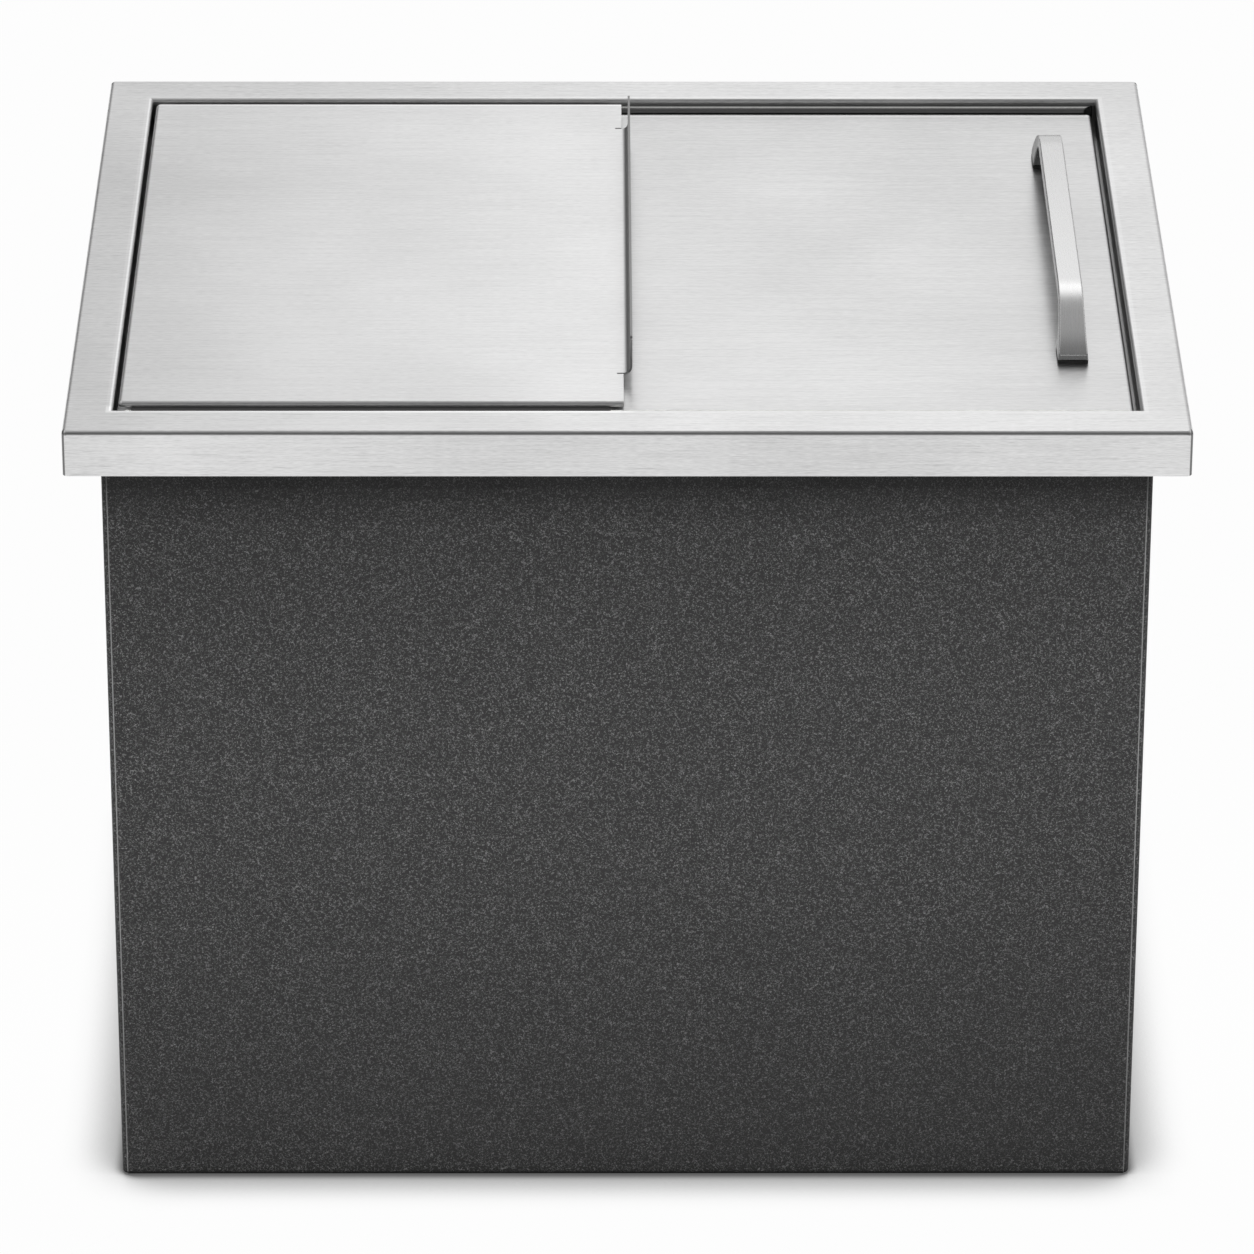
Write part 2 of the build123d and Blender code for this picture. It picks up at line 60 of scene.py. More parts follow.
# %% [markdown]
# ## The camera
#
# The photographer stood back with a long lens and looked down at about 26 degrees, so the rim's
# sides lean together only a little. A camera is matched to a photograph from corners whose real
# places are known: here the rim's four corners and the foot of the casing. The long lens is set
# in millimetres on Blender's 36 mm sensor. The shift moves the picture without turning the
# camera, as a view camera's rising front does, so upright edges keep their lean.

# %% Place the camera
camera_data = bpy.data.cameras.new("product_camera")
camera = bpy.data.objects.new("product_camera", camera_data)
bpy.context.scene.collection.objects.link(camera)
camera.location = (-0.0159, -3.3431, 1.8873)
camera.rotation_euler = [math.radians(turn) for turn in (63.311, -0.121, -0.241)]
camera_data.lens = 222.48
camera_data.sensor_width = 36.0
camera_data.shift_x = -0.0013
camera_data.shift_y = -0.0152
camera_data.clip_end = 50.0
bpy.context.scene.camera = camera
print("camera height:", round(camera.location.z, 3), "m, lens:", camera_data.lens, "mm")

# %% [markdown]
# ## Wiring finishes
#
# A finish is a small circuit of nodes. Object coordinates tell each point where it lies on the
# part, noise turns places into irregular values, and a few sums turn those values into colour,
# gloss and relief. The helpers below do the wiring, so that each finish can be read as a recipe.

# %% Helpers for finishes
def start_finish(name):
    """Makes an empty material with its surface shader and returns both."""
    finish = bpy.data.materials.new(name)
    finish.use_nodes = True
    surface = finish.node_tree.nodes["Principled BSDF"]
    return finish, surface


def feed(finish, source, socket):
    """Sets a socket to a number or colour, or links another node's output to it."""
    if isinstance(source, bpy.types.NodeSocket):
        finish.node_tree.links.new(source, socket)
    else:
        socket.default_value = source


def reckon(finish, operation, first, second=0.0):
    """One sum on two values."""
    node = finish.node_tree.nodes.new("ShaderNodeMath")
    node.operation = operation
    feed(finish, first, node.inputs[0])
    feed(finish, second, node.inputs[1])
    return node.outputs[0]


def times(finish, first, second):
    """One value times another."""
    return reckon(finish, "MULTIPLY", first, second)


def larger(finish, first, second):
    """The larger of two values."""
    return reckon(finish, "MAXIMUM", first, second)


def weigh(finish, share, first, second):
    """A share of the first value and the rest of the second."""
    return reckon(finish, "ADD", times(finish, first, share), times(finish, second, 1.0 - share))


def ease(finish, value, low, high, to_low=0.0, to_high=1.0):
    """Maps a value smoothly from one range to another and stops at the ends."""
    node = finish.node_tree.nodes.new("ShaderNodeMapRange")
    node.interpolation_type = "SMOOTHSTEP"
    feed(finish, value, node.inputs["Value"])
    node.inputs["From Min"].default_value = low
    node.inputs["From Max"].default_value = high
    node.inputs["To Min"].default_value = to_low
    node.inputs["To Max"].default_value = to_high
    return node.outputs["Result"]


def blend_colours(finish, share, first, second):
    """Mixes two colours by a share from 0 to 1."""
    node = finish.node_tree.nodes.new("ShaderNodeMix")
    node.data_type = "RGBA"
    feed(finish, share, node.inputs[0])
    feed(finish, first, node.inputs[6])
    feed(finish, second, node.inputs[7])
    return node.outputs[2]


def grey(level):
    """A neutral colour."""
    return (level, level, level, 1.0)


print("finish helpers ready")

# %% Helpers for patterns
def object_place(finish):
    """Where a point lies on the part, in metres, as three separate values."""
    place = finish.node_tree.nodes.new("ShaderNodeTexCoord").outputs["Object"]
    apart = finish.node_tree.nodes.new("ShaderNodeSeparateXYZ")
    feed(finish, place, apart.inputs[0])
    return place, apart.outputs


def facing(finish, axis):
    """How squarely a face looks along an axis, from 0 to 1, whichever way."""
    normal = finish.node_tree.nodes.new("ShaderNodeNewGeometry").outputs["True Normal"]
    apart = finish.node_tree.nodes.new("ShaderNodeSeparateXYZ")
    feed(finish, normal, apart.inputs[0])
    return reckon(finish, "ABSOLUTE", apart.outputs[axis])


def as_vector(finish, *values):
    """Joins three values into a vector."""
    node = finish.node_tree.nodes.new("ShaderNodeCombineXYZ")
    for value, socket in zip(values, node.inputs):
        feed(finish, value, socket)
    return node.outputs[0]


def grain(finish, place, scale, detail=2.0, distortion=0.0):
    """Irregular values from 0 to 1, with bumps about 1 / scale metres apart."""
    node = finish.node_tree.nodes.new("ShaderNodeTexNoise")
    feed(finish, place, node.inputs["Vector"])
    node.inputs["Scale"].default_value = scale
    node.inputs["Detail"].default_value = detail
    node.inputs["Distortion"].default_value = distortion
    return node.outputs[0]


def stretched_grain(finish, values, rates, offset, detail, distortion=0.0):
    """Noise that changes along each of two values at its own rate, in bumps per metre."""
    spread = [times(finish, value, rate) for value, rate in zip(values, rates)]
    return grain(finish, as_vector(finish, *spread, offset), 1.0, detail, distortion)


def outside(finish, value, limit, width):
    """Rises from 0 to 1 where a value, taken without its sign, passes a limit."""
    return ease(finish, reckon(finish, "ABSOLUTE", value), limit - width, limit)


def relief(finish, height, depth, strength=1.0):
    """Turns a height into small dents and ridges, depth metres deep."""
    node = finish.node_tree.nodes.new("ShaderNodeBump")
    feed(finish, height, node.inputs["Height"])
    node.inputs["Distance"].default_value = depth
    node.inputs["Strength"].default_value = strength
    return node.outputs[0]


print("pattern helpers ready")

# %% [markdown]
# ## Wear and painted light on the sheets
#
# The rim and both lids are stainless sheet, brushed before it is folded. What is added to it
# is painted on by place, as a share from 0 to 1 of another grey. The rim carries a few scratches
# from wiping. The rest is painted light. A narrow band along the bends round the rim's outside
# and at its corners gets painted shade, and the wall that drops into the well gets a much darker
# painted shade. The rim's edge round the well gets a painted highlight, strongest at the front of
# the left half, and so do its side bends and the lids' back edges. The finger lip and, darker,
# its top edge get painted shade.

# %% Wear and painted light
half_well = Vector((232.0, 179.2, 0.0)) * mm
well_bend = 3.5 * mm


def rim_scratches_and_painted_light(finish, colour, level, corner, spot, scratches):
    """Scratches, plus painted shade and painted highlights on bends and edges; corner is the rim's
    far top one.
    """
    x, y, z = spot
    top_bend = ease(finish, z, corner.z - 1.8 * mm, corner.z - 1.2 * mm)
    crown = times(finish, outside(finish, y, corner.y - 0.4 * mm, 0.9 * mm), top_bend)
    side_bend = times(finish, outside(finish, x, corner.x - 0.6 * mm, 0.8 * mm), top_bend)
    near_end = outside(finish, x, corner.x - 0.9 * mm, 0.5 * mm)
    corner_bend = times(finish, near_end, outside(finish, y, corner.y - 3.0 * mm, 1.0 * mm))
    beside_well = outside(finish, x, half_well.x + well_bend, 0.4 * mm)
    past_well = larger(finish, beside_well, outside(finish, y, half_well.y + well_bend, 0.4 * mm))
    at_well = reckon(finish, "SUBTRACT", 1.0, past_well)
    # Painted shade: the wall that drops into the well is made much darker, for the shade in the
    # gap.
    drop_wall = times(finish, at_well, ease(finish, z, corner.z - 2.5 * mm, corner.z - 4.0 * mm))
    # Painted highlight along the rim's edge round the well, strongest at the front of the left
    # half.
    well_edge = times(finish, at_well, ease(finish, z, corner.z - 0.5 * mm, corner.z - 0.2 * mm))
    at_front = ease(finish, y, -174.0 * mm, -178.0 * mm)
    brighter_at_front = times(finish, at_front, ease(finish, x, 6.0 * mm, 0.0))
    edge_highlight = times(finish, well_edge, ease(finish, brighter_at_front, 0.0, 1.0, 0.22, 1.0))
    # The side bends get a painted highlight too.
    edge_highlight = larger(finish, edge_highlight, times(finish, side_bend, 0.9))
    # Painted shade along the outer bends, at the corners and on the well's wall.
    bend_and_wall_shade = larger(finish, times(finish, crown, 0.45), times(finish, corner_bend, 0.95))
    bend_and_wall_shade = larger(finish, bend_and_wall_shade, times(finish, drop_wall, 0.75))
    scratched = ease(finish, scratches, 0.40, 0.30, 0.0, 0.30)
    for share, other in ((scratched, level * 0.45), (edge_highlight, 0.97), (bend_and_wall_shade, level * 0.18)):
        colour = blend_colours(finish, share, colour, grey(other))
    return colour


def lip_painted_shade(finish, colour, level, lip_top, spot):
    """Paints shade on the finger lip and, darker, along its top edge."""
    x, _, z = spot
    # Painted shade on the finger lip, and more along its top edge.
    on_lip = ease(finish, x, -1.2 * mm, 0.4 * mm)
    lip = times(finish, on_lip, ease(finish, z, lip_top - 18.2 * mm, lip_top - 17.4 * mm))
    colour = blend_colours(finish, times(finish, lip, 0.6), colour, grey(level * 0.3))
    lip_top_shade = ease(finish, z, lip_top - 1.3 * mm, lip_top - 0.5 * mm, 0.0, 0.8)
    return blend_colours(finish, lip_top_shade, colour, grey(level * 0.25))


print("half of the well:", half_well.x, half_well.y)

# %% [markdown]
# ## Brushed stainless sheet
#
# An abrasive belt brushes the sheet along its length. It leaves hairlines about a third of a
# millimetre wide and a few millimetres long, all one way, and fainter, broader streaks where the
# grit was worn. A stretched noise makes both: it changes fast across the grain and slowly along
# it. Where the sheet is bent down at an end, the grain turns down with it, so there the upright
# coordinate takes the lengthwise one's place.

# %% Brushed sheet
hair_rates, streak_rates, scratch_rates = (240.0, 3000.0), (24.0, 900.0), (55.0, 1500.0)


def brushed_sheet(name, level, contrast, offset, rim_corner=None, lip_top=None, back_edge=None):
    """Stainless sheet brushed along X, at a grey level; the offset gives it lines of its own."""
    finish, surface = start_finish(name)
    place, (x, y, z) = object_place(finish)
    turned_down = reckon(finish, "GREATER_THAN", facing(finish, 0), 0.6)
    flat = reckon(finish, "SUBTRACT", 1.0, turned_down)
    along = reckon(finish, "ADD", times(finish, x, flat), times(finish, z, turned_down))
    across = reckon(finish, "ADD", y, times(finish, z, flat))
    hair = stretched_grain(finish, (along, across), hair_rates, offset, 3.0)
    streak = stretched_grain(finish, (along, across), streak_rates, offset, 2.0)
    cloud = grain(finish, place, 9.0)
    lines = weigh(finish, 0.65, hair, streak)
    share = ease(finish, weigh(finish, 0.75, lines, cloud), 0.3, 0.7)
    dark, light = grey(level * (1.0 - contrast)), grey(level * (1.0 + contrast))
    colour = blend_colours(finish, share, dark, light)
    if rim_corner:
        scratches = stretched_grain(finish, (along, across), scratch_rates, offset, 2.0, 0.5)
        colour = rim_scratches_and_painted_light(finish, colour, level, rim_corner, (x, y, z), scratches)
    if lip_top:
        colour = lip_painted_shade(finish, colour, level, lip_top, (x, y, z))
    if back_edge:
        # Painted highlight along the lid's back edge.
        back_edge_highlight = ease(finish, y, back_edge - 3.2 * mm, back_edge - 2.6 * mm)
        colour = blend_colours(finish, back_edge_highlight, colour, grey(0.96))
    feed(finish, colour, surface.inputs["Base Color"])
    surface.inputs["Metallic"].default_value = 1.0
    feed(finish, ease(finish, lines, 0.3, 0.7, 0.29, 0.38), surface.inputs["Roughness"])
    feed(finish, relief(finish, lines, 0.02 * mm), surface.inputs["Normal"])
    surface.inputs["Anisotropic"].default_value = 0.45
    upward = reckon(finish, "ADD", facing(finish, 2), turned_down)
    feed(finish, as_vector(finish, 0.0, upward, facing(finish, 1)), surface.inputs["Tangent"])
    return finish


rim_corner, lip_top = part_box("top_frame")[1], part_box("left_lid")[1].z
lid_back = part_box("right_lid")[1].y
rim_steel = brushed_sheet("brushed_rim_sheet", 0.75, 0.20, 0.0, rim_corner=rim_corner)
left_lid_steel = brushed_sheet(
    "brushed_left_lid_sheet", 0.75, 0.17, 3.1, lip_top=lip_top, back_edge=lid_back
)
right_lid_steel = brushed_sheet(
    "brushed_right_lid_sheet", 0.68, 0.17, 7.7, back_edge=lid_back - 1.4 * mm
)
print("brushed sheets:", rim_steel.name, left_lid_steel.name, right_lid_steel.name)

# %% [markdown]
# ## Mill-finish and satin steel
#
# The tub and the folded tracks are steel as it leaves the rolling mill: dull, faintly cloudy,
# with soft marks from drawing. The tracks get a much darker grey, which is painted shade for
# the slot they sit in. The handle is a cast bar, ground and then polished to a satin, so its
# lines are shorter and finer than the sheet's and run along the bow. Its far bend carries
# painted shade.

# %% Mill-finish steel and satin steel
def mill_steel(name, level, low_gloss, high_gloss):
    """Unbrushed steel with fine specks and a cloudy gloss between two roughnesses."""
    finish, surface = start_finish(name)
    place, _ = object_place(finish)
    cloud = grain(finish, place, 28.0, 4.0, 0.6)
    speck = grain(finish, place, 1400.0)
    tone = weigh(finish, 0.7, cloud, speck)
    share = ease(finish, tone, 0.3, 0.7)
    colour = blend_colours(finish, share, grey(level * 0.88), grey(level * 1.08))
    feed(finish, colour, surface.inputs["Base Color"])
    surface.inputs["Metallic"].default_value = 1.0
    feed(finish, ease(finish, tone, 0.3, 0.7, low_gloss, high_gloss), surface.inputs["Roughness"])
    feed(finish, relief(finish, tone, 0.03 * mm), surface.inputs["Normal"])
    return finish


def satin_bar(name, level):
    """Ground and satin-polished steel, with short lines along Y and painted shade on the far bend.
    """
    finish, surface = start_finish(name)
    place, (x, y, z) = object_place(finish)
    on_side = reckon(finish, "GREATER_THAN", facing(finish, 0), 0.6)
    across = reckon(finish, "ADD", x, times(finish, z, on_side))
    lines = stretched_grain(finish, (across, y), (1900.0, 60.0), 0.0, 3.0)
    tone = weigh(finish, 0.7, lines, grain(finish, place, 60.0))
    share = ease(finish, tone, 0.3, 0.7)
    polished = blend_colours(finish, share, grey(level * 0.975), grey(level * 1.025))
    # Painted shade on the far bend, darker towards the far foot.
    far_bend_shade = ease(finish, y, 86.0 * mm, 97.0 * mm, 0.0, 0.6)
    colour = blend_colours(finish, far_bend_shade, polished, grey(level * 0.3))
    feed(finish, colour, surface.inputs["Base Color"])
    surface.inputs["Metallic"].default_value = 1.0
    feed(finish, ease(finish, tone, 0.3, 0.7, 0.25, 0.30), surface.inputs["Roughness"])
    feed(finish, relief(finish, lines, 0.0012 * mm), surface.inputs["Normal"])
    return finish


tub_steel = mill_steel("tub_mill_steel", 0.56, 0.30, 0.44)
# Painted shade: the tracks' steel is made much darker, for the shade of the slot they sit in.
rail_painted_shade_steel = mill_steel("rail_steel_painted_shade", 0.20, 0.34, 0.46)
fastener_steel = mill_steel("plain_fastener_steel", 0.52, 0.26, 0.38)
handle_steel = satin_bar("handle_satin_steel", 0.68)
print("plain steels:", tub_steel.name, rail_painted_shade_steel.name, fastener_steel.name, handle_steel.name)

# %% [markdown]
# ## Textured paint
#
# The casing is steel sheet with a baked texture paint. As the paint cures it shrinks into a fine
# leathery skin: short, curled ridges about a millimetre long over a nearly black ground, with a
# soft, wide mottling. The ridges are painted lighter, a painted highlight for where they would
# catch the light. The ridges are the places where a noise passes through its middle value,
# which draws thin, winding lines, and a second noise breaks them into short pieces. A sparser
# third one adds the brighter flecks. The front and back sheets' upright edges carry a painted
# highlight, and the hems carry painted shade, nearly black.

# %% Textured paint
def textured_paint(name, dark, light, edge=None):
    """Dark baked paint: curled ridges, flecks, mottling, painted shade on the hem and perhaps a
    painted highlight on an edge.
    """
    finish, surface = start_finish(name)
    place, (x, _, z) = object_place(finish)
    skin = grain(finish, place, 900.0, 0.0, 1.0)
    from_middle = reckon(finish, "ABSOLUTE", reckon(finish, "SUBTRACT", skin, 0.5))
    ridge = ease(finish, from_middle, 0.0, 0.08, 1.0, 0.0)
    broken = ease(finish, grain(finish, place, 1150.0, 0.0), 0.38, 0.52)
    curls = times(finish, ridge, broken)
    fleck = ease(finish, grain(finish, place, 1300.0, 1.0), 0.70, 0.77)
    mottle = ease(finish, grain(finish, place, 22.0, 3.0), 0.3, 0.7)
    # Painted shade along the bottom hem, nearly black.
    hem_shade = ease(finish, z, 1.2 * mm, 3.6 * mm, 0.85, 0.0)
    # A pale grey for the flecks and for the painted highlight on the upright edges.
    bright, hem_shade_grey = grey(light * 1.5), grey(0.006)
    colour = blend_colours(finish, mottle, grey(dark * 0.86), grey(dark * 1.12))
    # The ridges are painted lighter, a painted highlight for where they would catch the light.
    colour = blend_colours(finish, times(finish, curls, 0.9), colour, grey(light))
    colour = blend_colours(finish, times(finish, fleck, 0.8), colour, bright)
    # Painted highlight along the upright edges of the lapped front and back sheets.
    if edge:
        colour = blend_colours(finish, outside(finish, x, edge, 0.7 * mm), colour, bright)
    colour = blend_colours(finish, hem_shade, colour, hem_shade_grey)
    feed(finish, colour, surface.inputs["Base Color"])
    feed(finish, ease(finish, mottle, 0.0, 1.0, 0.52, 0.62), surface.inputs["Roughness"])
    height = weigh(finish, 0.6, skin, curls)
    feed(finish, relief(finish, height, 0.25 * mm), surface.inputs["Normal"])
    surface.inputs["Specular IOR Level"].default_value = 0.35
    return finish


paint_dark, paint_light = 0.022, 0.205
sheet_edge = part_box("front_panel")[1].x - 0.1 * mm
casing_paint = textured_paint("casing_texture_paint", paint_dark, paint_light)
lapped_paint = textured_paint("lapped_sheet_paint", paint_dark, paint_light, edge=sheet_edge)
print("paint:", casing_paint.name, lapped_paint.name)

# %% [markdown]
# ## The quieter finishes
#
# The rest is seen in gaps, from behind or from below: nylon strips and shoes that the lids run
# on, rubber under the handle's feet and in the drain, foam boards, a galvanised base sheet and a
# brass locknut. Each still gets its own recipe, because a lid that slides open or a bin turned
# over shows them.

# %% Nylon, rubber and foam
def moulded(name, dark, light, scale, roughness, depth):
    """A matt moulded finish: two near colours mixed by a fine grain, with a little relief."""
    finish, surface = start_finish(name)
    place, _ = object_place(finish)
    fine = grain(finish, place, scale, 3.0)
    colour = blend_colours(finish, ease(finish, fine, 0.3, 0.7), (*dark, 1.0), (*light, 1.0))
    feed(finish, colour, surface.inputs["Base Color"])
    gloss = ease(finish, fine, 0.3, 0.7, roughness - 0.05, roughness + 0.05)
    feed(finish, gloss, surface.inputs["Roughness"])
    feed(finish, relief(finish, fine, depth), surface.inputs["Normal"])
    return finish


nylon = moulded("runner_nylon", (0.66, 0.66, 0.64), (0.78, 0.78, 0.76), 500.0, 0.45, 0.03 * mm)
black_nylon = moulded(
    "slide_black_nylon", (0.012, 0.012, 0.012), (0.022, 0.022, 0.022), 600.0, 0.42, 0.02 * mm
)
rubber = moulded(
    "foot_pad_rubber", (0.012, 0.012, 0.012), (0.028, 0.028, 0.027), 900.0, 0.7, 0.05 * mm
)
foam = moulded("closed_cell_foam", (0.70, 0.63, 0.44), (0.84, 0.79, 0.60), 1100.0, 0.85, 0.4 * mm)
brass = moulded("locknut_brass", (0.46, 0.31, 0.11), (0.62, 0.44, 0.18), 260.0, 0.34, 0.03 * mm)
brass.node_tree.nodes["Principled BSDF"].inputs["Metallic"].default_value = 1.0
print("moulded finishes:", nylon.name, rubber.name, foam.name, brass.name)

# %% Galvanised sheet
def galvanised_sheet(name):
    """Zinc-coated sheet, whose crystals each reflect a little differently."""
    finish, surface = start_finish(name)
    place, _ = object_place(finish)
    crystals = finish.node_tree.nodes.new("ShaderNodeTexVoronoi")
    feed(finish, place, crystals.inputs["Vector"])
    crystals.inputs["Scale"].default_value = 110.0
    spangle = finish.node_tree.nodes.new("ShaderNodeSeparateColor")
    feed(finish, crystals.outputs["Color"], spangle.inputs[0])
    tone = spangle.outputs[0]
    dark_zinc, pale_zinc = (0.36, 0.37, 0.38, 1.0), (0.50, 0.51, 0.52, 1.0)
    feed(finish, blend_colours(finish, tone, dark_zinc, pale_zinc), surface.inputs["Base Color"])
    surface.inputs["Metallic"].default_value = 0.85
    feed(finish, ease(finish, tone, 0.0, 1.0, 0.38, 0.56), surface.inputs["Roughness"])
    return finish


zinc = galvanised_sheet("galvanised_base_sheet")
print("zinc:", zinc.name)

# %% [markdown]
# ## Pieces made here
#
# Two pieces gain from a mesh of their own. A mesh starts as a small shape, is pulled, turned or
# spun into the whole by bmesh's operators, and then takes the place of a CAD piece, which is
# hidden. The helper closes seams and poles, turns every face outwards, gives the piece its
# finish, hangs it on the body it rides on and hides the CAD piece it stands for.

# %% Helper for new pieces
def make_piece(name, form, finish, node, body):
    """Turns a bmesh into a piece that rides on a body and stands for a CAD node."""
    bmesh.ops.remove_doubles(form, verts=form.verts, dist=0.01 * mm)
    bmesh.ops.recalc_face_normals(form, faces=form.faces)
    for face in form.faces:
        face.smooth = True
    mesh = bpy.data.meshes.new(name)
    form.to_mesh(mesh)
    form.free()
    mesh.materials.append(finish)
    piece = bpy.data.objects.new(name, mesh)
    bpy.context.scene.collection.objects.link(piece)
    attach(piece, body)
    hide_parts(node)
    print(name, "faces:", len(mesh.polygons))
    return piece


print("piece helper ready")

# %% [markdown]
# ## The bow handle
#
# The handle is a cast bow. Its top is flat in the middle and bends down to each foot in one wide
# arc, its underside turns in a tighter one, so that the legs grow thicker towards their roots, and
# its sides draw in from the feet to the bar. A single quad is the sole of the near foot. It is
# extruded from station to station over the bow to the far foot, and at each station its four
# corners are set to the outer and the inner curve. The quads left inside are taken out, so that
# only the skin is left. A bevel rounds the long edges, and hardened normals keep the flats flat.

# %% Shape the handle
handle_low, handle_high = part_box("pull_handle")
handle_x = (handle_low.x + handle_high.x) / 2
sole, crest_height, foot_end = handle_low.z, handle_high.z, handle_high.y
foot_band, foot_depth, bar_depth = 2.9 * mm, 16.0 * mm, 6.0 * mm
flat_end, hollow_end = 78.0 * mm, 84.0 * mm
foot_width, waist_width, bar_width = 14.2 * mm, 12.0 * mm, 11.2 * mm
run, rise = foot_end - flat_end, crest_height - sole - foot_band
leg_radius = (run ** 2 + rise ** 2) / (2 * rise)
leg_sweep = math.asin(run / leg_radius)
hollow_rise = crest_height - bar_depth - sole
hollow_run = foot_end - foot_depth - hollow_end
steps = 14

half_bow = [((foot_end, sole), (foot_end - foot_depth, sole))]
for step in range(steps + 1):
    turn = leg_sweep * (1 - step / steps)
    climb = math.pi / 2 * (step + 1) / (steps + 1)
    outer_y = flat_end + leg_radius * math.sin(turn)
    outer_z = crest_height - leg_radius * (1 - math.cos(turn))
    inner_y = hollow_end + hollow_run * math.cos(climb)
    inner_z = sole + hollow_rise * math.sin(climb)
    half_bow.append(((outer_y, outer_z), (inner_y, inner_z)))
near_half = [((-y, z), (-inner_y, inner_z)) for (y, z), (inner_y, inner_z) in half_bow]
stations = near_half + half_bow[::-1]


def half_width(z):
    """Half of the handle's width at a height: foot, waist and bar joined by one smooth curve."""
    share = (z - sole) / (crest_height - sole)
    curve = 2 * foot_width - 4 * waist_width + 2 * bar_width
    slope = 4 * waist_width - 3 * foot_width - bar_width
    return (foot_width + slope * share + curve * share ** 2) / 2


def set_corners(corners, station):
    """Puts the four corners of the travelling face on the station's outer and inner point."""
    for corner, (side, is_inner) in zip(corners, corner_roles):
        y, z = station[is_inner]
        corner.co = (handle_x + side * half_width(z), y, z)


form = bmesh.new()
bmesh.ops.create_grid(form, x_segments=1, y_segments=1, size=0.5)
form.faces.ensure_lookup_table()
face = form.faces[0]
corners = list(face.verts)
corner_roles = [(1 if corner.co.x > 0 else -1, int(corner.co.y > 0)) for corner in corners]
set_corners(corners, stations[0])
left_inside = []
for station in stations[1:]:
    left_inside.append(face)
    grown = bmesh.ops.extrude_face_region(form, geom=[face])["geom"]
    face = next(part for part in grown if isinstance(part, bmesh.types.BMFace))
    corners = [
        min(face.verts, key=lambda vertex: (vertex.co - corner.co).length) for corner in corners
    ]
    set_corners(corners, station)
inside = [inner for inner in left_inside[1:] if inner.is_valid]
bmesh.ops.delete(form, geom=inside, context="FACES_ONLY")
bow_handle = make_piece(
    "bow_handle", form, handle_steel, "pull_handle", "lower_lid"
)
rounding = bow_handle.modifiers.new("rounding", "BEVEL")
rounding.width = 0.7 * mm
rounding.segments = 3
rounding.limit_method = "ANGLE"
rounding.angle_limit = math.radians(30.0)
rounding.harden_normals = True

# %% [markdown]
# ## The blind rivets
#
# The back sheet is closed last, when nobody can reach inside, so it is held by blind rivets. A
# rod pulls each one tight from outside and snaps off, which leaves a small pit in the domed head.
# The profile of half a head, from the pit's middle over the dome to its foot, is spun once round.
#
# One fault is known here. The feet stand on the back of the panel's box, which is the edge of its
# turned-out flange. The flat sheet lies 11 mm in front of that edge, so the heads come out
# stretched and turned back to front, and hang behind the sheet.

# %% Spin the rivet heads
rivet_low, rivet_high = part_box("back_panel_rivets")
flange_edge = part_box("back_panel")[1].y
column = 230.0 * mm
head_radius, head_rise = rivet_high.x - column, rivet_high.y - flange_edge
rows, spin_steps = 4, 24
lowest = rivet_low.z + head_radius
pitch = (rivet_high.z - rivet_low.z - 2 * head_radius) / (rows - 1)
# Each point is a share of the head's radius and of its height
profile = [
    (0.0, 0.30), (0.24, 0.30), (0.30, 0.93), (0.40, 1.0), (0.62, 0.90),
    (0.82, 0.64), (0.95, 0.28), (1.0, 0.0), (0.0, 0.0),
]
form = bmesh.new()
for x in (-column, column):
    for row in range(rows):
        foot = (x, flange_edge, lowest + pitch * row)
        line = [
            form.verts.new((x + out * head_radius, flange_edge + up * head_rise, foot[2]))
            for out, up in profile
        ]
        edges = [form.edges.new(pair) for pair in zip(line, line[1:])]
        bmesh.ops.spin(
            form, geom=line + edges, cent=foot, axis=(0.0, 1.0, 0.0), angle=math.tau,
            steps=spin_steps, use_merge=True,
        )
make_piece("domed_rivets", form, fastener_steel, "back_panel_rivets", "bin")

# %% [markdown]
# ## Dressing the pieces
#
# Every CAD piece keeps its shape and only gets a finish in its material slots. The table reads
# as a parts list: finish first, then the pieces that take it.

# %% Dress the pieces
wardrobe = {
    rim_steel: ["top_frame"],
    left_lid_steel: ["left_lid"],
    right_lid_steel: ["right_lid"],
    tub_steel: ["ice_liner", "drain_body", "drain_strainer"],
    rail_painted_shade_steel: ["upper_rail_front", "upper_rail_back"],
    nylon: ["runner_strip_front", "runner_strip_back", "right_lid_glides"],
    black_nylon: ["left_lid_slides"],
    casing_paint: ["left_panel", "right_panel"],
    lapped_paint: ["front_panel", "back_panel"],
    zinc: ["base_panel"],
    fastener_steel: ["back_panel_rivets", "handle_screws", "handle_washers", "drain_washer"],
    foam: ["insulation_" + place for place in ("front", "back", "left", "right", "base")],
    rubber: ["handle_pads", "drain_gasket"],
    brass: ["drain_locknut"],
    handle_steel: ["pull_handle"],
}
for finish, names in wardrobe.items():
    for name in names:
        for slot in parts[name].material_slots:
            slot.material = finish
dressed = sum(len(names) for names in wardrobe.values())
print("dressed:", dressed, "of", len(parts))

# %% [markdown]
# ## Floor, backdrop and light
#
# The product stands on a white sweep. The floor is a real, pale surface that carries the lamps'
# shadow, and a share of its own white keeps it from going grey. Close to the casing its white
# sinks where the surroundings are shut out, which gives the narrow, soft contact shadow of a
# photograph taken in a light tent.
#
# Bright metal has hardly a colour of its own and shows the room instead. So the world is white
# where the camera looks, and what metal mirrors is a small studio: white paper behind the bin,
# which the lids and the rim show, a dim ceiling, a dim room on the photographer's side, and dark
# corners low on the left and the right. Bends, the handle's legs and the gaps between the sheets
# mirror those, and that draws their dark lines, together with the painted shade on the rim's
# bends, the well's wall, the tracks, the lip and the handle's far bend.

# %% The floor
def seeing_rays(finish):
    """Which rays look: 1 for reflected or transmitted ones, and 1 for those or the camera's."""
    rays = finish.node_tree.nodes.new("ShaderNodeLightPath").outputs
    mirrored = larger(finish, rays["Is Glossy Ray"], rays["Is Transmission Ray"])
    return mirrored, larger(finish, rays["Is Camera Ray"], mirrored)


